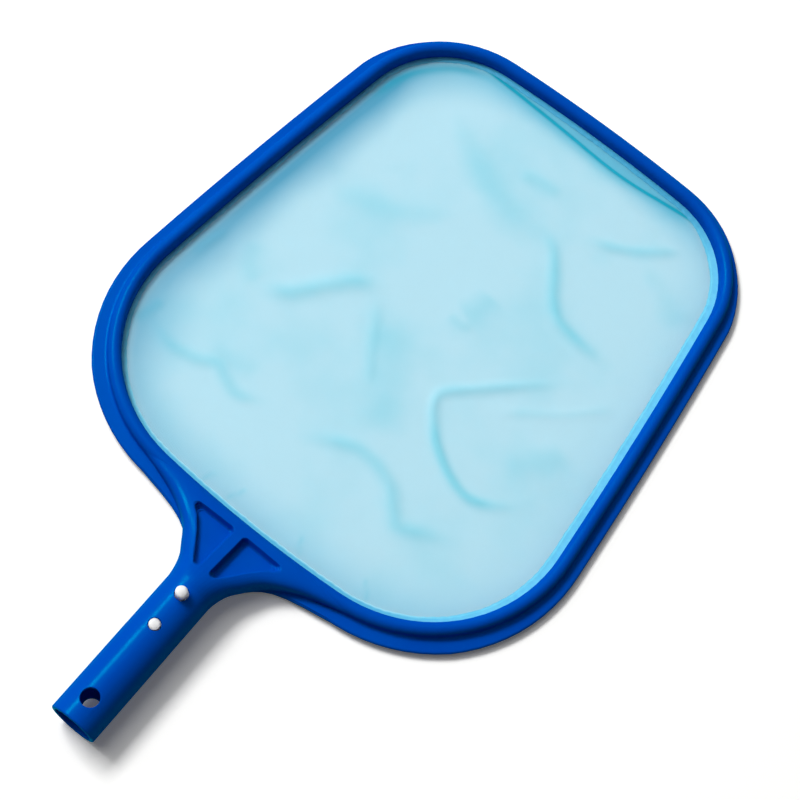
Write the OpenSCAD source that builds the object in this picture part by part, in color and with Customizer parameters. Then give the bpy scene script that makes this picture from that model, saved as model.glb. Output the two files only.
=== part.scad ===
// Leaf skimmer head: a wide shallow hoop of moulded plastic with a tube handle,
// a fine mesh trapped round its edge, and a sprung clip that locks a pole on the tube.
// Millimetres. Y runs along the handle towards the hoop, Z is up, X is across.
// The origin is the centre of the tube's mouth. The hoop's base plane is at z = -axis_h.

/* [Tube] */
// Outside diameter of the tube
tube_d = 28.4; // [20:0.1:40]
// Wall of the tube
tube_wall = 2.3; // [1.2:0.1:4]
// Length of the tube from its mouth to where it enters the neck
tube_len = 92; // [60:1:160]
// Length of the plain end that a pole slides over, up to the buttons
fit_len = 58; // [40:1:60]
// How much thinner the tube is beyond the plain end, on the radius
fit_step = 0.05; // [0.02:0.01:0.5]
// Depth of the bore
bore_depth = 96; // [40:1:120]
// Depth of the wider front part of the bore, up to its shoulder
socket_depth = 24; // [10:1:40]
// How much narrower the bore is behind the shoulder, on the radius
shoulder = 0.4; // [0.1:0.1:2]
// Height of the tube's axis above the hoop's base plane
axis_h = 14.35; // [12:0.05:25]
// Diameter of the cross hole near the mouth
cross_d = 10.5; // [4:0.1:14]
// Distance of the cross hole from the mouth
cross_y = 14.4; // [8:0.1:30]

/* [Lock buttons] */
// Distance of the tall button from the mouth
tall_y = 85.4; // [60:0.1:95]
// Distance of the low button from the mouth
low_y = 64.1; // [40:0.1:80]
// Radius of the tall button above the tube
tall_r = 3.4; // [2:0.05:5]
// Radius of the low button
low_r = 3.2; // [2:0.05:5]
// Height of the tall button above the tube
tall_h = 5.6; // [2:0.1:8]
// Height of the low button above the tube
low_h = 1.0; // [0.2:0.1:4]
// Radius of the tall button's window
tall_hole_r = 4.0; // [2.5:0.05:6]
// Radius of the low button's window
low_hole_r = 3.6; // [2.5:0.05:6]
// How far the tall button's window sits towards the hoop, for the clip's swing
tall_shift = 0.3; // [0:0.05:1]
// How far the low button's window sits towards the hoop, for the clip's swing
low_shift = 0.1; // [0:0.05:1]
// Distance of the clip's bend axis from the mouth
bend_y = 36; // [20:1:60]

/* [Hoop outline] */
// Distance of the rim's centreline from the mouth, on the axis
hoop_y = 138.9; // [100:0.1:200]
// Radius of the near edge's slight bow
near_edge_r = 769.3; // [300:10:3000]
// Half length of the near edge
near_edge_len = 61.8; // [20:0.1:150]
// Radius of the near corners
near_corner_r = 93; // [40:0.1:150]
// Turn of the near corners in degrees
near_corner_turn = 89.4; // [70:0.1:110]
// Radius of the sides' slight bow
side_r = 3599; // [500:10:9000]
// Length of the sides
side_len = 182.3; // [80:0.1:300]
// Radius of the far corners
far_corner_r = 66.8; // [30:0.1:120]
// Radius of the far edge's slight bow
far_edge_r = 1099; // [300:10:4000]

/* [Hoop section] */
// Width of the domed rim
rim_w = 7.82; // [6:0.02:12]
// Height of the rim above the base plane
rim_h = 11.94; // [6:0.02:20]
// Height of the flange's top at the rim's foot
flange_h = 5.3; // [3:0.1:9]
// Underside of the flange above the base plane
flange_under = 2.4; // [0.5:0.1:5]

/* [Mesh] */
// Height of the mesh above the base plane
mesh_h = 3.3; // [1:0.1:8]
// Thickness of the mesh sheet
mesh_t = 0.45; // [0.2:0.05:1]

/* [Hidden] */
$fn = 48;
tube_r = tube_d / 2;
bore_r = tube_r - tube_wall;
rim_r = rim_w / 2;
rim_c = rim_h - rim_r;
blue = [0.02, 0.33, 0.76];
pale = [0.68, 0.87, 0.93];
white = [0.93, 0.93, 0.92];

// ---- hoop outline: arcs joined tangentially, as [x, y, heading] stations ----
function arc_end(p, r, a) = [
    p[0] + r * (sin(p[2] + a) - sin(p[2])),
    p[1] - r * (cos(p[2] + a) - cos(p[2])),
    p[2] + a
];
function arc(p, r, a, n) = [for (i = [1:n]) arc_end(p, r, a * i / n)];
near_a = near_edge_len / near_edge_r * 180 / PI;
side_a = side_len / side_r * 180 / PI;
start = [0, hoop_y, 0];
p1 = arc_end(start, near_edge_r, near_a);
p2 = arc_end(p1, near_corner_r, near_corner_turn);
p3 = arc_end(p2, side_r, side_a);
// the far corner ends at the heading from which the far edge closes on the axis
far_h = 180 - asin((p3[0] - far_corner_r * sin(p3[2])) / (far_edge_r - far_corner_r));
p4 = arc_end(p3, far_corner_r, far_h - p3[2]);
half = concat(
    [start],
    arc(start, near_edge_r, near_a, 5),
    arc(p1, near_corner_r, near_corner_turn, 20),
    arc(p2, side_r, side_a, 8),
    arc(p3, far_corner_r, far_h - p3[2], 16),
    arc(p4, far_edge_r, 180 - far_h, 5)
);
mirrored = [for (i = [len(half) - 2:-1:1]) [-half[i][0], half[i][1], 360 - half[i][2]]];
path = concat(half, mirrored);
// the flange is wider round the near corners, by the outline's heading
function flange_w(h) = lookup(h > 180 ? 360 - h : h,
    [[0, 11.2], [20, 12.2], [45, 13.2], [70, 12.2], [90, 11.1], [97.5, 10.8], [112, 9.3], [130, 8.0],
        [180, 7.8]]);
function at(p, s) = [p[0] + s * sin(p[2]), p[1] - s * cos(p[2])];
function plan(s) = [for (p = path) at(p, s)];

// ---- closed sweep of a section [[s, z], ...] round the hoop ----
function sweep_points(secs) =
    [for (i = [0:len(path) - 1]) for (q = secs[i]) concat(at(path[i], q[0]), [q[1]])];
function sweep_faces(n, k) =
    [for (i = [0:n - 1]) for (j = [0:k - 1])
        let (a = i * k + j, b = i * k + (j + 1) % k, c = ((i + 1) % n) * k + j,
             d = ((i + 1) % n) * k + (j + 1) % k)
        each [[a, c, b], [b, c, d]]];
module sweep(secs) {
    polyhedron(points = sweep_points(secs), faces = sweep_faces(len(path), len(secs[0])));
}

// rim and flange: domed rim, filleted foot, thin flange, groove under the rim for the mesh's edge
groove_r = 2.6;
groove_h = 5.9;
seat_h = 4.3;
function rim_section(w) = concat(
    [[-rim_r, seat_h], [-rim_r, rim_c]],
    [for (a = [165:-15:15]) [rim_r * cos(a), rim_c + rim_r * sin(a)]],
    [[rim_r, rim_c], [rim_r + 0.15, flange_h + 1.1], [rim_r + 0.7, flange_h + 0.3],
     [rim_r + 1.6, flange_h], [w - 0.9, flange_h - 0.3], [w - 0.2, flange_h - 0.8],
     [w, flange_h - 1.5], [w - 0.4, flange_under + 0.2], [w - 1.2, flange_under],
     [rim_r + 0.5, flange_under], [rim_r + 0.5, seat_h], [groove_r, seat_h],
     [groove_r, groove_h], [-groove_r, groove_h], [-groove_r, seat_h]]
);

// ---- neck: lofted from the round tube to the flat rim ----
// [y, half width, top, height of the widest line, bottom, squareness]
neck_stations = [
    [90, 13.9, 28.25, 14.35, 0.45, 2.0],
    [92, 14.2, 28.55, 14.35, 0.15, 2.0],
    [94, 14.45, 28.65, 14.3, 0, 2.0],
    [96, 14.8, 28.5, 14.2, 0, 2.02],
    [98.5, 15.4, 27.9, 13.9, 0, 2.05],
    [102, 16.5, 26.5, 13.4, 0.1, 2.1],
    [106, 18.4, 24.9, 12.4, 0.4, 2.25],
    [110, 21.2, 23.4, 11.2, 1.0, 2.45],
    [114, 23.9, 22.1, 9.8, 1.7, 2.7],
    [118, 26.8, 20.8, 8.4, 2.4, 3.0],
    [122, 31.0, 19.5, 7.4, 2.5, 3.2],
    [126, 37.0, 18.2, 6.6, 2.5, 3.2],
    [129, 42.6, 17.3, 6.1, 2.6, 3.1],
    [131.5, 48.3, 16.6, 5.8, 2.7, 2.95],
    [133.2, 53.2, 16.1, 5.7, 3.9, 2.8],
    [135.5, 60.5, 15.3, 6.4, 6.1, 2.6],
    [138, 69.5, 14.4, 6.8, 6.5, 2.4],
    [140, 77.0, 13.5, 6.9, 6.6, 2.3],
    [141.4, 74.0, 12.2, 7.0, 6.8, 2.3],
    [142.3, 66.0, 10.2, 7.2, 7.0, 2.3]
];
// stations filled in along a smooth curve
function spline(a, b, c, d, t) =
    0.5 * ((2 * b) + (c - a) * t + (2 * a - 5 * b + 4 * c - d) * t * t + (3 * b - a - 3 * c + d) * t * t * t);
neck_n = len(neck_stations);
neck_fill = [for (i = [0:neck_n - 2]) for (t = [0, 0.5])
    let (a = neck_stations[max(0, i - 1)], b = neck_stations[i], c = neck_stations[i + 1],
         d = neck_stations[min(neck_n - 1, i + 2)])
    i == 0 ? b + (c - b) * t : spline(a, b, c, d, t)];
neck_path = concat(neck_fill, [neck_stations[neck_n - 1]]);
function power(v, e) = sign(v) * pow(abs(v), 2 / e);
neck_k = 44;
function neck_ring(q) = [for (j = [0:neck_k - 1])
    let (a = 360 * j / neck_k, up = sin(a) >= 0)
    [q[1] * power(cos(a), q[5]), q[0], q[3] + (up ? q[2] - q[3] : q[3] - q[4]) * power(sin(a), q[5])]];
module neck() {
    n = len(neck_path);
    k = neck_k;
    polyhedron(
        points = [for (q = neck_path) each neck_ring(q)],
        faces = concat(
            [[for (j = [k - 1:-1:0]) j]],
            [for (i = [0:n - 2]) for (j = [0:k - 1])
                let (a = i * k + j, b = i * k + (j + 1) % k)
                each [[a, b, a + k], [b, b + k, a + k]]],
            [[for (j = [0:k - 1]) (n - 1) * k + j]]
        )
    );
}

// web that spreads the flange out from the neck
web_side = [[18, 110], [21.5, 113.5], [24.4, 116.6], [28.3, 119.8], [33.5, 122.7], [41, 125.3],
    [51, 127.6], [62, 129.6], [72, 131.6], [80, 137]];
module web() {
    outline = concat(web_side, [for (i = [len(web_side) - 1:-1:0]) [-web_side[i][0], web_side[i][1]]]);
    translate([0, 0, flange_under]) difference() {
        union() {
            linear_extrude(height = flange_h - 0.8 - flange_under) polygon(outline);
            linear_extrude(height = flange_h - 0.25 - flange_under) offset(delta = -0.7) polygon(outline);
        }
        translate([0, 0, -1]) linear_extrude(height = 10) polygon(plan(rim_r + 0.48));
    }
}

// two rounded triangular pockets on the neck's top, either side of a centre rib
pocket_side = [[3.0, 101.2], [5.2, 100.6], [11.6, 109.2], [18.6, 119.2], [24.6, 126.4], [31.6, 131.4],
    [31.0, 134.2], [3.0, 134.4]];
pocket_round = 2.5;
pocket_tilt = -16.5;
pocket_y = 103.5;
pocket_floor = 19.7;
// [height above the floor, inset of the wall] down the pocket's drafted, rounded walls
pocket_draft = [[0, 1.5], [0.35, 1.0], [0.9, 0.65], [2.2, 0.3], [4, 0]];
module pocket_plan(inset) {
    offset(r = pocket_round, $fn = 28) offset(delta = -pocket_round - inset) polygon(pocket_side);
}
module pockets(lift, inset, up) {
    for (m = [0, 1]) mirror([m, 0, 0])
        translate([0, pocket_y, pocket_floor + lift]) rotate([pocket_tilt, 0, 0])
            translate([0, 0, up ? 0 : -30]) linear_extrude(height = 30)
                scale([1, 1 / cos(pocket_tilt)]) translate([0, -pocket_y]) pocket_plan(inset);
}

// the moulded head, made to its exact overall width and length
head_w = 2 * max([for (p = path) at(p, flange_w(p[2]))[0]]);
module head() {
    resize([head_w, 0, 0]) difference() {
        union() {
            sweep([for (p = path) rim_section(flange_w(p[2]))]);
            neck();
            web();
        }
        for (d = pocket_draft) pockets(d[0], d[1], true);
        intersection() {
            pockets(-3.2, 2.4, false);
            translate([-40, 104, -1]) cube([80, 27.5, 30]);
        }
    }
}

module lathe_y(profile) {
    rotate([-90, 0, 0]) rotate_extrude() polygon(profile);
}

module frame() {
    color(blue) difference() {
        union() {
            translate([0, 0, -axis_h]) head();
            lathe_y([[0, 0], [tube_r - 0.5, 0], [tube_r, 0.5], [tube_r, fit_len], [tube_r - fit_step, fit_len],
                [tube_r - fit_step, tube_len], [0, tube_len]]);
        }
        lathe_y([[0, -1], [bore_r + 0.4, -1], [bore_r + 0.4, 0], [bore_r, 0.4], [bore_r, socket_depth],
            [bore_r - shoulder, socket_depth], [bore_r - shoulder, bore_depth], [0, bore_depth]]);
        translate([0, cross_y, -20]) cylinder(r = cross_d / 2, h = 40);
        translate([0, tall_y + tall_shift, 0]) cylinder(r = tall_hole_r, h = 20);
        translate([0, low_y + low_shift, 0]) cylinder(r = low_hole_r, h = 20);
    }
}

// hoop snapped in from below: a flat base and a bead that holds the mesh's edge in the groove
hoop_base_h = 2.8;
hoop_base_r = 4;
bead_r = 1.75;
bead_h = 5.2;
module band(s, z0, z1) {
    translate([0, 0, z0]) linear_extrude(height = z1 - z0) difference() {
        polygon(plan(s));
        polygon(plan(-s));
    }
}
module retaining_hoop() {
    color(blue) translate([0, 0, -axis_h]) {
        band(hoop_base_r, 0, hoop_base_h);
        band(bead_r, hoop_base_h, bead_h);
    }
}

// hem: a woven tape folded over the bead, with a margin that runs in over the mesh
hem_t = 0.35;
hem_h = 3.8;
// how far the margin reaches in from the rim's centreline, by the outline's heading
function hem_reach(h) = lookup(h, [[0, 7.6], [60, 7.8], [90, 8.3], [140, 8.6], [165, 7.2], [200, 7],
    [215, 7], [270, 6], [330, 6.6], [360, 7.6]]);
module net_hem() {
    color(pale) translate([0, 0, -axis_h]) difference() {
        union() {
            band(bead_r + 0.1 + hem_t, hoop_base_h + 0.05, bead_h + 0.1 + hem_t);
            translate([0, 0, hem_h]) linear_extrude(height = hem_t) difference() {
                polygon(plan(-bead_r));
                polygon([for (p = path) at(p, -hem_reach(p[2]))]);
            }
        }
        band(bead_r + 0.1, hoop_base_h - 1, bead_h + 0.1);
    }
}

// ---- mesh: one slack sheet with its main folds ----
net_edge = 4.1;
net_mid = [0, 305];
// [x, y, x, y, height, half width] of each fold's crest
folds = [
    [-92, 262, -62, 287, 1.5, 7], [-62, 287, -36, 309, 1.3, 7], [-111, 201, -42, 208, 1.4, 9],
    [-5, 212, 22, 223, 1.2, 8], [22, 223, 90, 210, 1.2, 9], [13, 408, 57, 358, 1.5, 8],
    [-56, 435, -26, 414, 1.4, 7], [-26, 414, 16, 410, 1.3, 7], [47, 420, 83, 438, 1.1, 7],
    [24, 282, 83, 332, 1.8, 7], [30, 275, 55, 251, 1.5, 7], [55, 251, 88, 236, 1.5, 7],
    [84, 305, 124, 331, 1.2, 8], [-63, 468, 80, 467, 1.2, 5]
];
function seg_dist(p, f) =
    let (a = [f[0], f[1]], b = [f[2], f[3]], t = max(0, min(1, (p - a) * (b - a) / ((b - a) * (b - a)))))
    norm(p - a - t * (b - a));
function bump(p, f) = f[4] * exp(-pow(seg_dist(p, f) / f[5], 2));
function lift(p) = max([for (f = folds) bump(p, f)]);
net_rings = 11;
net_path = [for (i = [0:2:len(path) - 1]) path[i]];
function net_xy(i, j) = let (e = at(net_path[i], -net_edge)) net_mid + (e - net_mid) * (1 - pow(j / net_rings, 1.15));
function net_z(p, j) = mesh_h + (j == 0 ? 0 : lift(p) * min(1, (j - 1) / 2) - 0.9 * pow(j / net_rings, 0.7));
module net() {
    n = len(net_path);
    top = [for (j = [0:net_rings - 1]) for (i = [0:n - 1])
        let (p = net_xy(i, j)) [p[0], p[1], net_z(p, j)]];
    mid_z = net_z(net_mid, net_rings);
    m = n * net_rings;
    color(pale) translate([0, 0, -axis_h]) polyhedron(
        points = concat([for (p = top) p + [0, 0, mesh_t]], [[net_mid[0], net_mid[1], mid_z + mesh_t]],
            top, [[net_mid[0], net_mid[1], mid_z]]),
        faces = concat(
            [for (j = [0:net_rings - 2]) for (i = [0:n - 1])
                let (a = j * n + i, b = j * n + (i + 1) % n)
                each [[a, a + n, b], [b, a + n, b + n]]],
            [for (i = [0:n - 1]) [m - n + i, m, m - n + (i + 1) % n]],
            [for (j = [0:net_rings - 2]) for (i = [0:n - 1])
                let (a = m + 1 + j * n + i, b = m + 1 + j * n + (i + 1) % n)
                each [[a, b, a + n], [b, b + n, a + n]]],
            [for (i = [0:n - 1]) [2 * m + 1 - n + i, 2 * m + 1 - n + (i + 1) % n, 2 * m + 1]],
            [for (i = [0:n - 1])
                let (a = i, b = (i + 1) % n)
                each [[a, b, a + m + 1], [b, b + m + 1, a + m + 1]]]
        )
    );
}

// ---- lock clip: a U of springy strip in the bore, with two buttons on its upper leg ----
strip_w = 7.6;
strip_t = 1.9;
arm_top = 10.4;
arm_end = 90.5;
knuckle_r = 0.95;
knuckle_z = arm_top - knuckle_r;
bend_r = 10.75;
module clip_leg() {
    color(white) {
        difference() {
            translate([-strip_w / 2, bend_y, 0]) rotate([90, 0, 90]) difference() {
                cylinder(r = bend_r, h = strip_w, $fn = 64);
                translate([0, 0, -1]) cylinder(r = bend_r - strip_t, h = strip_w + 2, $fn = 64);
            }
            translate([-10, bend_y, -20]) cube([20, 20, 40]);
            translate([-10, bend_y, knuckle_z]) rotate([90, 0, 90]) cylinder(r = knuckle_r + 0.32, h = 20);
        }
        translate([-strip_w / 2, bend_y - 0.01, -bend_r]) cube([strip_w, 46, strip_t]);
    }
}

function nose(r, top, h) = concat([[0, top]],
    [for (a = [75:-15:0]) [r * cos(a), top - h + h * sin(a)]]);
// round-nosed button on a root that is narrower by root_in
module button(y, r, top, h, root_in) {
    translate([0, y, 0]) rotate_extrude()
        polygon(concat(nose(r, top, h),
            [[r, tube_r + 0.15], [r - root_in, tube_r + 0.15], [r - root_in, arm_top - 1], [0, arm_top - 1]]));
}
module clip_arm() {
    color(white) {
        translate([-strip_w / 2, bend_y, knuckle_z]) rotate([90, 0, 90]) cylinder(r = knuckle_r, h = strip_w);
        translate([-strip_w / 2, bend_y, arm_top - strip_t]) cube([strip_w, arm_end - bend_y, strip_t]);
        button(tall_y, tall_r, tube_r + tall_h, 1.4, 0.5);
        button(low_y, low_r, tube_r + low_h, 0.8, 0);
    }
}

frame();
retaining_hoop();
net_hem();
net();
clip_leg();
clip_arm();
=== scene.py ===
# A leaf skimmer net that lies on a white floor. The blue frame, the hoop under its rim and the white
# spring clip in its tube are the solids as loaded. The slack mesh and the tape round it are built here.
# The origin is the centre of the tube's mouth, +Y goes towards the hoop and +Z is up. Lengths are in mm,
# or in metres where a name or a comment says so.
import math

import bpy
import numpy as np
from mathutils import Matrix, Vector


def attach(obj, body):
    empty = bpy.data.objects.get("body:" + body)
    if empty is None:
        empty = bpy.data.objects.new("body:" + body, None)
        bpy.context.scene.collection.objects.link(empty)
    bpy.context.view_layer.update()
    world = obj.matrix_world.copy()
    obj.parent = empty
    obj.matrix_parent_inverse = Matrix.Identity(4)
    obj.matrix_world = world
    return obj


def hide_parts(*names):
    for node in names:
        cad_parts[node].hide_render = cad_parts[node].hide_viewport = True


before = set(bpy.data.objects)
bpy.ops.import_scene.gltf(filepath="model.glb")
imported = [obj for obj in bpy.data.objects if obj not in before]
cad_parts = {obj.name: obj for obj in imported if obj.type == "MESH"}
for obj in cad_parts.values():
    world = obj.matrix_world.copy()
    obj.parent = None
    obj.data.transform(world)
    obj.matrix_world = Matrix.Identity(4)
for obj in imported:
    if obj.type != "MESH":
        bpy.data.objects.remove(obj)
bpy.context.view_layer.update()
scene = bpy.context.scene

MM = 0.001
AXIS_H = 14.35  # height of the tube's axis above the floor

# ------------------------------------------------------------------ camera
PICTURE_PX = 800.0
FOCAL_PX = 1685.0
CENTRE_PX = (364.5, 386.0)  # where the lens axis meets the picture, from its top left corner
SENSOR_W = 36.0
CAMERA_H = 892.8  # above the floor
CAMERA_PLACE = (146.4, -105.1, CAMERA_H - AXIS_H)
YAW, TILT, ROLL = 0.3993, 0.4110, 0.2914
NEAREST_M, FARTHEST_M = 0.01, 20.0

camera_data = bpy.data.cameras.new("camera")
camera = bpy.data.objects.new("camera", camera_data)
scene.collection.objects.link(camera)
turned = Matrix.Rotation(YAW, 4, "Z") @ Matrix.Rotation(TILT, 4, "X") @ Matrix.Rotation(ROLL, 4, "Z")
camera.matrix_world = Matrix.Translation(Vector(CAMERA_PLACE) * MM) @ turned
camera_data.sensor_width = SENSOR_W
camera_data.lens = FOCAL_PX / PICTURE_PX * SENSOR_W
camera_data.shift_x = (PICTURE_PX / 2 - CENTRE_PX[0]) / PICTURE_PX
camera_data.shift_y = (CENTRE_PX[1] - PICTURE_PX / 2) / PICTURE_PX
camera_data.clip_start = NEAREST_M
camera_data.clip_end = FARTHEST_M
scene.camera = camera
scene.view_settings.view_transform = "Standard"

# ------------------------------------------------------------------ rim outline, as in the CAD
HOOP_Y = 138.9
NEAR_EDGE_R, NEAR_EDGE_LEN = 769.3, 61.8
NEAR_CORNER_R, NEAR_CORNER_TURN = 93.0, math.radians(89.4)
SIDE_R, SIDE_LEN = 3599.0, 182.3
FAR_CORNER_R, FAR_EDGE_R = 66.8, 1099.0
ROUNDING = 1e-9


def arc_end(start, r, turn):
    """Where an arc of radius r that starts at (x, y, heading) ends after a turn."""
    x, y, t = start
    dx = r * (math.sin(t + turn) - math.sin(t))
    dy = r * (math.cos(t + turn) - math.cos(t))
    return (x + dx, y - dy, t + turn)


def outline(n):
    """n evenly spaced stations (x, y, heading) round the rim's centreline, from the near edge's middle."""
    arcs = []
    p = (0.0, HOOP_Y, 0.0)
    for r, turn in ((NEAR_EDGE_R, NEAR_EDGE_LEN / NEAR_EDGE_R), (NEAR_CORNER_R, NEAR_CORNER_TURN),
                    (SIDE_R, SIDE_LEN / SIDE_R)):
        arcs.append((p, r, turn))
        p = arc_end(p, r, turn)
    corner_x = p[0] - FAR_CORNER_R * math.sin(p[2])
    far = math.pi - math.asin(corner_x / (FAR_EDGE_R - FAR_CORNER_R))
    arcs.append((p, FAR_CORNER_R, far - p[2]))
    p = arc_end(p, FAR_CORNER_R, far - p[2])
    arcs.append((p, FAR_EDGE_R, math.pi - far))
    half = sum(r * turn for _, r, turn in arcs)
    stations = []
    for i in range(n):
        along = 2 * half * i / n
        mirrored = along > half
        along = min(along, 2 * half - along)
        for start, r, turn in arcs:
            if along <= r * turn + ROUNDING:
                break
            along -= r * turn
        x, y, t = arc_end(start, r, min(along / r, turn))
        stations.append((-x, y, 2 * math.pi - t) if mirrored else (x, y, t))
    return stations


def at(station, outwards):
    """The point this far outwards from a station of the outline."""
    x, y, t = station
    return (x + outwards * math.sin(t), y - outwards * math.cos(t))


# ------------------------------------------------------------------ helpers
def add(name, points, faces, smooth=True):
    """A mesh object from points in mm."""
    mesh = bpy.data.meshes.new(name)
    mesh.from_pydata([tuple(c * MM for c in point) for point in points], [], faces)
    mesh.update()
    if smooth:
        mesh.polygons.foreach_set("use_smooth", [True] * len(mesh.polygons))
    ob = bpy.data.objects.new(name, mesh)
    scene.collection.objects.link(ob)
    return ob


def set_attribute(ob, name, values):
    """Keeps one number a point, for the object's material."""
    attribute = ob.data.attributes.new(name, "FLOAT", "POINT")
    attribute.data.foreach_set("value", np.asarray(values, np.float32))


class Nodes:
    """Makes nodes in a tree. An input takes a value, a socket, or a node, whose first output feeds it."""

    # the sockets of a Mix node that carry its factor, its two colours and its result
    MIX_FACTOR, MIX_FIRST, MIX_SECOND, MIX_RESULT = 0, 6, 7, 2

    def __init__(self, tree):
        self.tree = tree

    def feed(self, socket, value):
        if isinstance(value, bpy.types.Node):
            self.tree.links.new(value.outputs[0], socket)
        elif isinstance(value, bpy.types.NodeSocket):
            self.tree.links.new(value, socket)
        elif socket.type == "RGBA":
            socket.default_value = (*value, 1.0)
        else:
            socket.default_value = value

    def node(self, kind, inputs=(), **settings):
        node = self.tree.nodes.new(kind)
        for name, setting in settings.items():
            setattr(node, name, setting)
        for name, value in dict(inputs).items():
            self.feed(node.inputs[name], value)
        return node

    def position(self):
        return self.node("ShaderNodeNewGeometry").outputs["Position"]

    def attribute(self, name):
        return self.node("ShaderNodeAttribute", attribute_name=name).outputs["Fac"]

    def noise(self, position, scale, detail=3.0, rough=0.55):
        inputs = {"Vector": position, "Scale": scale, "Detail": detail, "Roughness": rough}
        return self.node("ShaderNodeTexNoise", inputs).outputs["Fac"]

    def remap(self, value, from_lo, from_hi, to_lo, to_hi):
        """Takes one span of values to another."""
        inputs = {"Value": value, "From Min": from_lo, "From Max": from_hi, "To Min": to_lo, "To Max": to_hi}
        return self.node("ShaderNodeMapRange", inputs).outputs["Result"]

    def math(self, operation, *values):
        return self.node("ShaderNodeMath", enumerate(values), operation=operation).outputs[0]

    def mix(self, factor, first, second):
        """A colour between two."""
        inputs = {self.MIX_FACTOR: factor, self.MIX_FIRST: first, self.MIX_SECOND: second}
        return self.node("ShaderNodeMix", inputs, data_type="RGBA").outputs[self.MIX_RESULT]

    def blend(self, factor, first, second):
        """A shader between two."""
        return self.node("ShaderNodeMixShader", {0: factor, 1: first, 2: second})

    def weave(self, pitch):
        """The waves of the threads across X and across Y."""
        axes = self.node("ShaderNodeSeparateXYZ", {0: self.position()}).outputs
        return [self.math("SINE", self.math("MULTIPLY", axes[axis], 2 * math.pi / pitch)) for axis in "XY"]

    def seen_directly(self):
        """1 for what the camera sees directly, in gloss or through clear material, else 0."""
        path = self.node("ShaderNodeLightPath").outputs
        seen = self.math("MAXIMUM", path["Is Camera Ray"], path["Is Glossy Ray"])
        return self.math("MAXIMUM", seen, path["Is Transmission Ray"])


class Mat(Nodes):
    """A new material and its nodes."""

    def __init__(self, name):
        self.material = bpy.data.materials.new(name)
        self.material.use_nodes = True
        super().__init__(self.material.node_tree)
        self.tree.nodes.clear()

    def surface(self, shader):
        self.node("ShaderNodeOutputMaterial", {"Surface": shader})
        return self.material


# ------------------------------------------------------------------ plastics
# a noise's scale is how many waves it has in a metre, and nearly all its values lie in NOISE_SPAN
NOISE_SPAN = (0.3, 0.7)
MOTTLE_SCALE, SWIRL_SCALE, GRAIN_SCALE = 28.0, 110.0, 900.0
GRAIN_SHARE = 0.5
PLASTIC_BUMP, PLASTIC_BUMP_M = 0.10, 0.0002
PLASTIC_ROUGH = 0.5
PLASTIC_IOR = 1.45
SCATTER_M = 0.004
SMOOTHER, ROUGHER = 0.03, 0.04  # how far the gloss departs from its roughness in the swirls


def plastic(name, base, dark, tint, gloss, rough, bevel_m, glow=0.0):
    """Moulded plastic: faint mottling, fine grain, a tinted gloss, edges rounded by the bevel radius."""
    m = Mat(name)
    position = m.position()
    mottle = m.remap(m.noise(position, MOTTLE_SCALE, detail=4.0), *NOISE_SPAN, 0.0, 1.0)
    grain = m.noise(position, GRAIN_SCALE, detail=2.0)
    swirl = m.noise(position, SWIRL_SCALE)
    bump = m.node("ShaderNodeBump", {
        "Strength": PLASTIC_BUMP,
        "Distance": PLASTIC_BUMP_M,
        "Height": m.math("ADD", m.math("MULTIPLY", grain, GRAIN_SHARE), swirl),
        "Normal": m.node("ShaderNodeBevel", {"Radius": bevel_m}, samples=8),
    })
    body = m.node("ShaderNodeBsdfPrincipled", {
        "Base Color": m.mix(mottle, base, dark),
        "Roughness": PLASTIC_ROUGH,
        "Specular IOR Level": 0.0,
        "Subsurface Weight": glow,
        "Subsurface Radius": (SCATTER_M, SCATTER_M, SCATTER_M),
        "Subsurface Scale": 1.0,
        "Normal": bump,
    })
    shine = m.node("ShaderNodeBsdfAnisotropic", {
        "Color": tint,
        "Roughness": m.remap(swirl, *NOISE_SPAN, rough - SMOOTHER, rough + ROUGHER),
        "Normal": bump,
    })
    fresnel = m.node("ShaderNodeFresnel", {"IOR": PLASTIC_IOR, "Normal": bump})
    return m.surface(m.blend(m.math("MULTIPLY", fresnel, gloss), body, shine))


blue = plastic("blue_plastic", base=(0.0, 0.071, 0.485), dark=(0.0, 0.061, 0.46), tint=(0.0, 0.9, 1.0),
               gloss=0.25, rough=0.22, bevel_m=0.0008)
white_clip = plastic("white_clip", base=(0.97, 0.97, 0.965), dark=(0.94, 0.94, 0.93), tint=(1.0, 1.0, 1.0),
                     gloss=0.9, rough=0.3, bevel_m=0.0004, glow=1.0)

for names, finish in ((("frame", "retaining_hoop"), blue), (("clip_leg", "clip_arm"), white_clip)):
    for name in names:
        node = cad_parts[name]
        node.data.materials.clear()
        node.data.materials.append(finish)

# ------------------------------------------------------------------ shape of the mesh
NET_H, NET_T = 3.3, 0.45  # its underside above the floor and its thickness, as in the CAD
NET_Z = NET_H - AXIS_H + NET_T / 2
NET_EDGE = 4.1  # how far its edge lies inside the rim's centreline
NET_MID = (0.0, 305.0)  # where its rings close
SAG, SAG_POWER = 0.9, 0.7  # how deep the middle hangs. The power is under 1: it sinks soonest by the edge.
N_ROUND, N_RINGS = 420, 130
RING_SPREAD = 1.25  # over 1, so that the rings lie closer together near the edge
# the folds rise from this share of the way to the middle, and over this share reach their full height
FOLDS_FROM, FOLDS_RISE = 0.035, 0.05
# a fold's ends taper over this share of its length, down to this share of its height
FOLD_TAPER, FOLD_END = 0.22, 0.15
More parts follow.
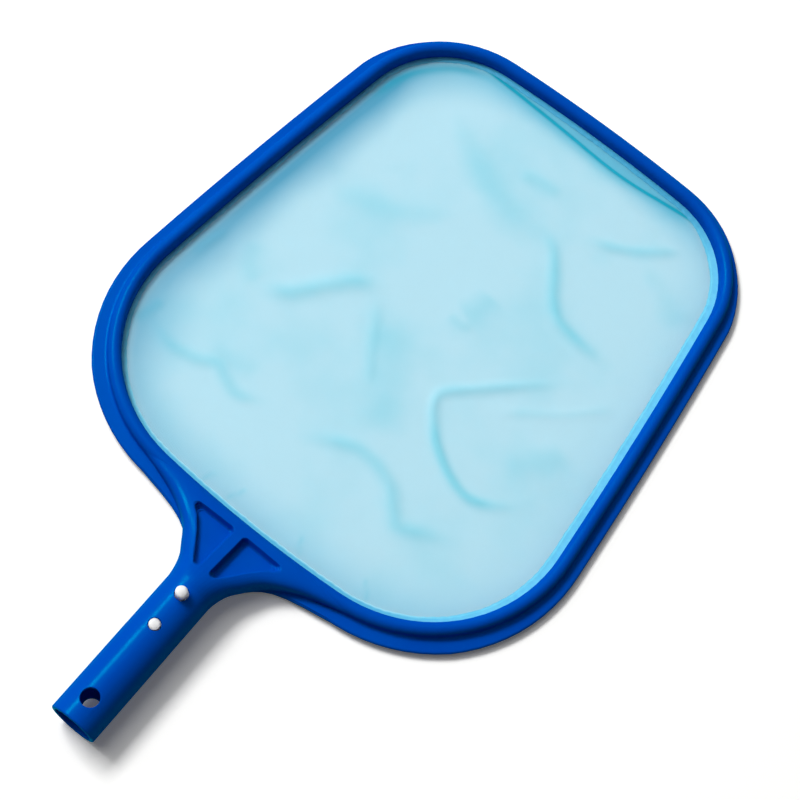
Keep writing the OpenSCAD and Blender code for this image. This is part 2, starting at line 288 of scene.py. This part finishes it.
# folds and pleats of the slack mesh: (lift, half width, depth of tint, points along the crest)
FOLDS = (
    (1.1, 3.4, 0.55, ((84, 330), (72, 319), (58, 305), (45, 292), (35, 282), (32, 274), (37, 264), (50, 251),
                      (68, 240), (84, 237), (100, 245), (112, 257))),
    (0.3, 3.2, 0.60, ((38, 263), (50, 250), (68, 240), (84, 237), (100, 245))),
    (0.5, 3.5, 0.30, ((62, 288), (78, 301), (95, 314), (118, 338))),
    (0.4, 9.0, 0.35, ((84, 264), (98, 278), (113, 298))),
    (1.0, 4.0, 0.80, ((14, 404), (26, 399), (36, 387), (46, 372), (57, 362), (74, 358), (95, 356))),
    (0.8, 4.0, 0.55, ((40, 418), (55, 424), (68, 432), (80, 442), (90, 451))),
    (0.5, 9.0, 0.38, ((-78, 440), (-62, 426), (-40, 413), (-20, 404), (0, 402), (18, 404))),
    (0.5, 5.0, 0.45, ((-20, 427), (-6, 430), (10, 431))),
    (0.3, 8.0, 0.30, ((75, 425), (95, 416), (118, 406))),
    (0.4, 10.0, 0.55, ((18, 350), (16, 336), (12, 324))),
    (0.3, 4.0, 0.35, ((4, 322), (14, 320), (22, 324))),
    (1.0, 5.5, 0.62, ((-92, 262), (-76, 269), (-62, 287), (-50, 301), (-36, 309))),
    (0.6, 4.5, 0.35, ((-34, 302), (-24, 288), (-12, 268), (0, 252))),
    (0.4, 13.0, 0.42, ((-22, 298), (-4, 276), (12, 252), (24, 232))),
    (0.9, 4.6, 0.62, ((-12, 204), (0, 212), (15, 219), (30, 219), (44, 214), (54, 204), (62, 198), (75, 203),
                      (92, 211))),
    (0.8, 4.2, 0.58, ((-122, 204), (-106, 199), (-90, 201), (-77, 207), (-68, 203), (-58, 200), (-48, 203),
                      (-38, 209))),
    (0.3, 6.0, 0.25, ((-88, 215), (-70, 215), (-55, 220))),
    (0.4, 6.0, 0.35, ((-112, 284), (-104, 268), (-92, 262))),
    (0.4, 8.0, 0.33, ((-104, 352), (-90, 345), (-76, 350), (-60, 354), (-44, 366), (-28, 380))),
    (0.4, 3.5, 0.60, ((-134, 250), (-132, 264), (-128, 279))),
    (0.4, 3.5, 0.60, ((-131, 196), (-129, 206), (-126, 218))),
    (0.4, 3.5, 0.50, ((-131, 318), (-129, 332), (-126, 350))),
    (0.3, 1.3, 0.45, ((-40, 146), (-37, 151), (-34, 158))),
    (0.3, 1.3, 0.45, ((-22, 147), (-18, 154), (-15, 161))),
    (0.3, 1.3, 0.45, ((30, 147), (28, 153), (24, 160))),
    (0.3, 1.3, 0.40, ((76, 151), (72, 157), (66, 163))),
)
# the pleat along the far edge. Between it and the rim the mesh is painted darker and bluer as shade, in a
# patch that goes PLEAT_SHADE_HALF to each side. The painted shade sets in over PLEAT_SHADE_RISE beside the
# pleat and over PLEAT_SHADE_END at its ends.
PLEAT = ((-88, 470.5), (-73, 472.6), (-37, 471.2), (-10, 469.4), (10, 467.8), (28, 467.2), (45, 468.2),
         (60, 470.0), (78, 471.5), (90, 470.0))
PLEAT_LIFT, PLEAT_WIDTH, PLEAT_TAPER = 1.2, 1.2, 0.12
PLEAT_HALO_WIDTH, PLEAT_HALO_TINT = 4.5, 0.9  # the fainter tint to both sides of it
PLEAT_SHADE_HALF, PLEAT_SHADE_RISE, PLEAT_SHADE_END = 92.0, 1.2, 12.0
# painted shade in the far left corner: a deep tint along this line, which does not lift the mesh
CORNER_SHADE = ((-72, 470), (-86, 465), (-99, 456), (-112, 440), (-118, 424), (-121, 404))
CORNER_WIDTH, CORNER_TINT = 3.2, 0.4
# painted shade: the slack mesh is painted darker towards its edge, where the rim shades it: (bearing,
# strength, flat width, fall width, share that is blue rather than greyish). A bearing is in degrees, seen
# from the middle, from the handle's side towards +X.
EDGE_SHADE = (
    (0, 0.66, 0, 30, 0.7), (24, 0.56, 0, 32, 0.9), (36, 0.44, 0, 36, 1), (60, 0.22, 0, 40, 1),
    (90, 0.16, 0, 45, 1), (125, 0.12, 0, 40, 1), (146, 0.40, 0, 30, 1), (157, 0.9, 8, 18, 1),
    (180, 0.62, 10, 12, 1), (192, 0.8, 9, 13, 1), (203, 0.95, 5, 24, 1), (213, 1.0, 7, 30, 0.5),
    (224, 1.2, 9, 25, 0), (234, 1.1, 9, 24, 0), (247, 1.06, 9, 29, 0), (261, 1.0, 10, 21, 0),
    (276, 0.9, 10.5, 24, 0), (290, 0.76, 12, 28, 0), (301, 0.66, 12, 26, 0), (313, 0.62, 9, 38, 0),
    (324, 0.60, 3, 28, 0.2), (336, 0.60, 2, 30, 0.5), (348, 0.62, 0, 30, 0.6), (360, 0.66, 0, 30, 0.7),
)
# the shape of the painted shade towards the edge
SHADE_POWER = 1.5
SHADE_AT_EDGE, SHADE_RISE = 0.1, 0.12  # its share at the very edge, and what each mm inwards adds
PAST_SHADE = 150.0  # a distance from the edge that no shade reaches


def ease(t):
    """From 0 to 1 with a soft start and end."""
    return t * t * (3 - 2 * t)


def smooth_line(points, steps=6):
    """Catmull-Rom curve through the points."""
    pts = [Vector(p) for p in points]
    pts = [2 * pts[0] - pts[1]] + pts + [2 * pts[-1] - pts[-2]]
    line = []
    for a, b, c, d in zip(pts, pts[1:], pts[2:], pts[3:]):
        for i in range(steps):
            t = i / steps
            line.append(0.5 * (2 * b + (c - a) * t + (2 * a - 5 * b + 4 * c - d) * t * t
                               + (3 * b - a - 3 * c + d) * t ** 3))
    line.append(pts[-2])
    return np.array([tuple(p) for p in line])


def ridge(xy, points, width, taper=FOLD_TAPER):
    """1 on a smooth line through the points, falling off sideways over width, fading at both ends."""
    line = smooth_line(points)
    step = np.linalg.norm(np.diff(line, axis=0), axis=1)
    along = np.concatenate([[0.0], np.cumsum(step)]) / step.sum()
    nearest = np.full(len(xy), np.inf)
    place = np.zeros(len(xy))
    for a, b, along_a, along_b in zip(line, line[1:], along, along[1:]):
        ab = b - a
        t = np.clip(((xy - a) @ ab) / (ab @ ab), 0.0, 1.0)
        distance = np.linalg.norm(xy - a - t[:, None] * ab, axis=1)
        nearer = distance < nearest
        nearest[nearer] = distance[nearer]
        place[nearer] = (along_a + (along_b - along_a) * t)[nearer]
    ends = np.clip(np.minimum(place, 1.0 - place) / taper, 0.0, 1.0)
    return np.exp(-(nearest / width) ** 2) * (FOLD_END + (1 - FOLD_END) * ease(ends))


def pleat_shade_patch(xy):
    """Painted shade between the pleat and the rim: 1 in the patch, else 0."""
    pleat_y = np.interp(xy[:, 0], *zip(*PLEAT))
    past = np.clip((xy[:, 1] - pleat_y) / PLEAT_SHADE_RISE, 0.0, 1.0)
    return past * np.clip((PLEAT_SHADE_HALF - np.abs(xy[:, 0])) / PLEAT_SHADE_END, 0.0, 1.0)


def edge_shade(xy, inwards):
    """How much shade is painted on the mesh towards its edge, greyish and bluish."""
    bearing = np.degrees(np.arctan2(xy[:, 0], NET_MID[1] - xy[:, 1])) % 360.0
    turns, *columns = zip(*EDGE_SHADE)
    strength, flat, fall, blue_share = (np.interp(bearing, turns, column) for column in columns)
    past_flat = np.clip(inwards - flat, 0.0, None) / fall
    shade = (strength * np.clip(1.0 - past_flat, 0.0, 1.0) ** SHADE_POWER
             * np.clip(SHADE_AT_EDGE + SHADE_RISE * inwards, 0.0, 1.0))
    return shade * (1.0 - blue_share), shade * blue_share


def folds(xy):
    """How high the folds and the pleat lift the mesh, how much it has the folds' tint, and the pleat's tint
    together with the painted shade in the far left corner.
    """
    lift, fold = np.zeros(len(xy)), np.zeros(len(xy))
    for height, width, tint, points in FOLDS:
        crest = ridge(xy, points, width)
        lift = np.maximum(lift, height * crest)
        fold = fold + tint * crest
    pleat = ridge(xy, PLEAT, PLEAT_WIDTH, PLEAT_TAPER)
    lift = np.maximum(lift, PLEAT_LIFT * pleat)
    fold = fold + PLEAT_HALO_TINT * ridge(xy, PLEAT, PLEAT_HALO_WIDTH, PLEAT_TAPER)
    return lift, fold, np.maximum(pleat, CORNER_TINT * ridge(xy, CORNER_SHADE, CORNER_WIDTH))


def disc_faces(n_round, n_rings):
    """Faces between rings of points, and from the last ring to one point in the middle."""
    faces = []
    for j in range(n_rings - 1):
        for i in range(n_round):
            a, b = j * n_round + i, j * n_round + (i + 1) % n_round
            faces.append((a, b, b + n_round, a + n_round))
    last, middle = (n_rings - 1) * n_round, n_rings * n_round
    for i in range(n_round):
        faces.append((last + i, last + (i + 1) % n_round, middle))
    return faces


def mesh_sheet():
    """The sheet in rings from its edge to its middle, with the amounts of tint and of painted shade at each
    point.
    """
    stations = outline(N_ROUND)
    edge = np.array([at(station, -NET_EDGE) for station in stations])
    mid = np.array(NET_MID)
    ring_depth = (np.arange(N_RINGS) / N_RINGS) ** RING_SPREAD
    rings = mid + (edge - mid) * (1.0 - ring_depth)[:, None, None]
    xy = np.vstack([rings.reshape(-1, 2), mid])
    depth = np.append(np.repeat(ring_depth, N_ROUND), 1.0)

    lift, fold, pleat = folds(xy)
    rise = ease(np.clip((depth - FOLDS_FROM) / FOLDS_RISE, 0.0, 1.0))
    z = NET_Z + lift * rise - SAG * depth ** SAG_POWER

    outwards = np.array([(math.sin(t), -math.cos(t)) for _, _, t in stations])
    inwards = np.append(((edge - rings) * outwards).sum(axis=2), PAST_SHADE)
    painted_grey_shade, painted_blue_shade = edge_shade(xy, inwards)

    sheet = add("mesh_sheet", np.column_stack([xy, z]).tolist(), disc_faces(N_ROUND, N_RINGS))
    set_attribute(sheet, "fold", fold)
    # the pleat's tint, and the painted shade in the far left corner
    set_attribute(sheet, "pleat", pleat)
    # painted shade towards the edge, greyish
    set_attribute(sheet, "painted_grey_shade", painted_grey_shade)
    # painted shade, bluish: beside the far pleat and towards the edge
    set_attribute(sheet, "blue", np.maximum(pleat_shade_patch(xy), painted_blue_shade))
    return sheet


# ------------------------------------------------------------------ finish of the mesh
NET_PALE = (0.53, 0.85, 0.975)
NET_FOLD = (0.24, 0.74, 0.89)
# colours of the painted shade: greyish towards the edge, bluish towards the edge and beside the far pleat
NET_PAINTED_GREY_SHADE = (0.125, 0.47, 0.68)
NET_PAINTED_BLUE_SHADE = (0.18, 0.635, 0.83)
# the pleat's colour, which is also the painted shade in the far left corner
NET_PLEAT, PLEAT_TINT = (0.0, 0.46, 0.64), 1.5
# large and small clouds in its colour: (scale, roughness, the noise's span, the tint's span)
CLOUDS = ((16.0, 0.5, (0.32, 0.68), (-0.18, 0.26)), (55.0, 0.6, NOISE_SPAN, (-0.05, 0.06)))
NET_ROUGH, NET_SPECULAR, NET_TRANSLUCENT = 0.65, 0.2, 0.3
NET_PITCH_M = 0.0006
# from a thread to a gap, the sum of the threads' two waves goes through the first span and the openness
# through the second
GAP_WAVES, GAP_OPEN = (-0.4, 1.4), (0.03, 0.55)
SHADED_OPEN = 0.1  # the share of the openness that is left at the pleat and where shade is painted


def net_weave():
    """Fine translucent mesh: pale where it lies flat, deeper along its folds and the pleat, with painted
    shade by its edge, beside the far pleat and in the far left corner.
    """
    m = Mat("net_weave")
    position = m.position()
    fold, pleat, painted_grey_shade, painted_blue_shade = (m.attribute(name) for name in ("fold", "pleat", "painted_grey_shade", "blue"))
    large, small = (m.remap(m.noise(position, scale, rough=rough), *span, *tint)
                    for scale, rough, span, tint in CLOUDS)
    colour = m.mix(m.math("ADD", fold, m.math("ADD", large, small)), NET_PALE, NET_FOLD)
    # painted shade towards the edge, and beside the far pleat
    colour = m.mix(painted_grey_shade, colour, NET_PAINTED_GREY_SHADE)
    colour = m.mix(painted_blue_shade, colour, NET_PAINTED_BLUE_SHADE)
    colour = m.mix(m.math("MULTIPLY", pleat, PLEAT_TINT), colour, NET_PLEAT)
    yarn = m.node("ShaderNodeBsdfPrincipled", {
        "Base Color": colour,
        "Roughness": NET_ROUGH,
        "Specular IOR Level": NET_SPECULAR,
    })
    yarn = m.blend(NET_TRANSLUCENT, yarn, m.node("ShaderNodeBsdfTranslucent", {"Color": colour}))
    gaps = m.remap(m.math("ADD", *m.weave(NET_PITCH_M)), *GAP_WAVES, *GAP_OPEN)
    # less see-through at the pleat and where shade is painted, so that the painted shade stays deep
    painted_shade_and_pleat = m.math("MAXIMUM", m.math("MAXIMUM", painted_blue_shade, pleat), painted_grey_shade)
    gaps = m.math("MULTIPLY", gaps, m.remap(painted_shade_and_pleat, 0.0, 1.0, 1.0, SHADED_OPEN))
    return m.surface(m.blend(gaps, yarn, m.node("ShaderNodeBsdfTransparent")))


net = mesh_sheet()
net.data.materials.append(net_weave())
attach(net, "root")
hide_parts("net")

# ------------------------------------------------------------------ shape of the hem tape
# the tape hugs the hoop's bead: (offset outwards from the rim's centreline, height above the floor). Its
# first MARGIN_POINTS points are the margin, which lies on the mesh, and their offset is from its reach.
HEM_SECTION = (
    (-0.1, 3.55), (-0.1, 3.68), (1.2, 4.08),
    (-2.22, 4.18), (-2.22, 5.4), (-1.9, 5.67), (1.9, 5.67), (2.22, 5.4), (2.22, 2.84),
    (1.85, 2.84), (1.85, 5.3), (-1.85, 5.3), (-1.85, 3.75),
)
MARGIN_POINTS = 3
HEM_STATIONS = 900
# the tables below go by the outline's heading in degrees
# how far the margin reaches in from the rim's centreline
HEM_REACH = ((0, 7.6), (60, 7.8), (90, 8.3), (140, 8.6), (165, 7.2), (200, 7.0), (215, 7.0), (270, 6.0),
             (330, 6.6), (360, 7.6))
# painted shade on the tape, deepest along the far edge
HEM_SHADE_BY_HEADING = ((0, 0.3), (60, 0.05), (135, 0.1), (168, 1.0), (205, 1.0), (235, 0.6), (250, 0.0), (320, 0.0),
            (360, 0.3))
# how much deeper the tape's colour is at the margin's inner edge, in a line
HEM_LINE = ((0, 0.0), (30, 0.0), (55, 0.4), (140, 0.4), (165, 0.0), (360, 0.0))
# how far the margin fades into the mesh's own colour at its inner edge
HEM_FADE = ((0, 1.0), (20, 1.0), (50, 0.0), (310, 0.0), (345, 1.0), (360, 1.0))
# FADED_TONE: painted shade beside the rim, where the margin fades
FADED_TONE = 0.7  # the tone beside the rim where the margin fades
# the margin's pucker, outwards and upwards: the waves' sizes, and their turns from a station to the next
PUCKER_MEAN, PUCKER_FINE, PUCKER_LONG, PUCKER_LIFT = -0.25, 0.15, 0.1, 0.05
FINE_TURN, SWELL_TURN, LONG_TURN = 1.3, 0.11, 0.37


def by_heading(table, station):
    """What a table says at a station's heading."""
    return float(np.interp(math.degrees(station[2]), *zip(*table)))


def hem_band():
    """The tape folded over the bead, with its painted shade (its tone) and how far it fades at each point.
    """
    points, tones, fades = [], [], []
    for i, station in enumerate(outline(HEM_STATIONS)):
        fine = math.sin(i * FINE_TURN)
        pucker = (PUCKER_MEAN + PUCKER_FINE * fine * math.sin(i * SWELL_TURN)
                  + PUCKER_LONG * math.sin(i * LONG_TURN))
        reach, tone, line, fade = (by_heading(table, station)
                                   for table in (HEM_REACH, HEM_SHADE_BY_HEADING, HEM_LINE, HEM_FADE))
        for n, (offset, height) in enumerate(HEM_SECTION):
            margin = n < MARGIN_POINTS
            x, y = at(station, offset - reach + pucker if margin else offset)
            points.append((x, y, height - AXIS_H + (PUCKER_LIFT * fine if margin else 0.0)))
            inner_edge = n < MARGIN_POINTS - 1
            # tone: the painted shade, with the line at the margin's inner edge added
            tones.append(tone * (1.0 - fade) + line if inner_edge else max(tone, FADED_TONE * fade))
            fades.append(fade if inner_edge else 0.0)
    faces = []
    k = len(HEM_SECTION)
    for i in range(HEM_STATIONS):
        here, following = i * k, (i + 1) % HEM_STATIONS * k
        for j in range(k):
            beside = (j + 1) % k
            faces.append((here + j, following + j, following + beside, here + beside))
    band = add("hem_band", points, faces, smooth=False)
    set_attribute(band, "tone", tones)
    set_attribute(band, "fade", fades)
    return band


# ------------------------------------------------------------------ finish of the hem tape
HEM_PALE = (0.19, 0.72, 0.93)
HEM_DEEP = (0.14, 0.64, 0.88)
# HEM_SHADE: the colour of the painted shade on the tape, and of the line at the margin's inner edge
HEM_SHADE = (0.065, 0.43, 0.68)
HEM_NEAR = (0.40, 0.79, 0.91)
HEM_MOTTLE_SCALE = 260.0
HEM_PITCH_M = 0.0008
HEM_BUMP, HEM_BUMP_M = 0.3, 0.0001
HEM_ROUGH, HEM_SPECULAR = 0.6, 0.2


def hem_weave():
    """Woven tape: a tight weave with a faint change of tone along it, and painted shade where its tone
    attribute says.
    """
    m = Mat("hem_weave")
    mottle = m.remap(m.noise(m.position(), HEM_MOTTLE_SCALE), *NOISE_SPAN, 0.0, 1.0)
    colour = m.mix(mottle, HEM_PALE, HEM_DEEP)
    # painted shade, and the line at the margin's inner edge
    colour = m.mix(m.attribute("tone"), colour, HEM_SHADE)
    colour = m.mix(m.attribute("fade"), colour, HEM_NEAR)
    bump = m.node("ShaderNodeBump", {
        "Strength": HEM_BUMP,
        "Distance": HEM_BUMP_M,
        "Height": m.math("MULTIPLY", *m.weave(HEM_PITCH_M)),
    })
    return m.surface(m.node("ShaderNodeBsdfPrincipled", {
        "Base Color": colour,
        "Roughness": HEM_ROUGH,
        "Specular IOR Level": HEM_SPECULAR,
        "Normal": bump,
    }))


hem = hem_band()
hem.data.materials.append(hem_weave())
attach(hem, "root")
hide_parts("net_hem")

# ------------------------------------------------------------------ floor
FLOOR_HALF = 4000.0
FLOOR_LIT = (0.35, 0.33, 0.31)
FLOOR_SEEN = (1.13, 1.13, 1.115)
FLOOR_GLOW = 0.07
# the fade to white: where its centre lies along Y, and the distances from there where it starts and ends
FADE_Y_M, FADE_FROM_M, FADE_TO_M = 0.25, 0.34, 0.54


def floor_white():
    """Takes the object's shadow near it, and turns into the plain white background farther out."""
    m = Mat("floor_white")
    seen = m.seen_directly()
    lit = m.node("ShaderNodeBsdfDiffuse", {"Color": m.mix(seen, FLOOR_LIT, FLOOR_SEEN)})
    glow = m.node("ShaderNodeEmission", {"Strength": m.math("MULTIPLY", seen, FLOOR_GLOW)})
    near = m.node("ShaderNodeAddShader", {0: lit, 1: glow})
    axes = m.node("ShaderNodeSeparateXYZ", {0: m.position()}).outputs
    x = axes["X"]
    y = m.math("SUBTRACT", axes["Y"], FADE_Y_M)
    away = m.math("SQRT", m.math("ADD", m.math("MULTIPLY", x, x), m.math("MULTIPLY", y, y)))
    far = m.math("MULTIPLY", seen, m.remap(away, FADE_FROM_M, FADE_TO_M, 0.0, 1.0))
    top = m.blend(far, near, m.node("ShaderNodeEmission"))
    from_below = m.math("MULTIPLY", seen, m.node("ShaderNodeNewGeometry").outputs["Backfacing"])
    return m.surface(m.blend(from_below, top, m.node("ShaderNodeBsdfTransparent")))


corners = ((-FLOOR_HALF, -FLOOR_HALF), (FLOOR_HALF, -FLOOR_HALF), (FLOOR_HALF, FLOOR_HALF),
           (-FLOOR_HALF, FLOOR_HALF))
floor = add("floor", [(x, y, -AXIS_H) for x, y in corners], [(0, 1, 2, 3)], smooth=False)
floor.data.materials.append(floor_white())

# ------------------------------------------------------------------ world and lamps
WORLD_FILL = 0.07
# a soft key from the left and a broad light round it: (place, size, power), in metres and watts
LAMPS = {
    "key": ((-2.84, 0.6, 3.38), (1.7, 1.0), 138.0),
    "broad": ((-3.3, 1.0, 4.1), (6.0, 6.0), 167.0),
}
LAMPS_AIM_M = (0.0, 0.25, 0.0)

world = bpy.data.worlds.new("world")
scene.world = world
world.use_nodes = True
sky = Nodes(world.node_tree)
background = world.node_tree.nodes["Background"]
sky.feed(background.inputs["Color"], (1.0, 1.0, 1.0))
sky.feed(background.inputs["Strength"], sky.remap(sky.seen_directly(), 0.0, 1.0, WORLD_FILL, 1.0))


def lamp(name, place, size, power):
    """A rectangular lamp that faces the object."""
    data = bpy.data.lights.new(name, "AREA")
    data.shape = "RECTANGLE"
    data.size, data.size_y = size
    data.energy = power
    ob = bpy.data.objects.new(name, data)
    scene.collection.objects.link(ob)
    ob.location = place
    ob.rotation_euler = (Vector(LAMPS_AIM_M) - Vector(place)).to_track_quat("-Z", "Y").to_euler()


for name, (place, size, power) in LAMPS.items():
    lamp(name, place, size, power)
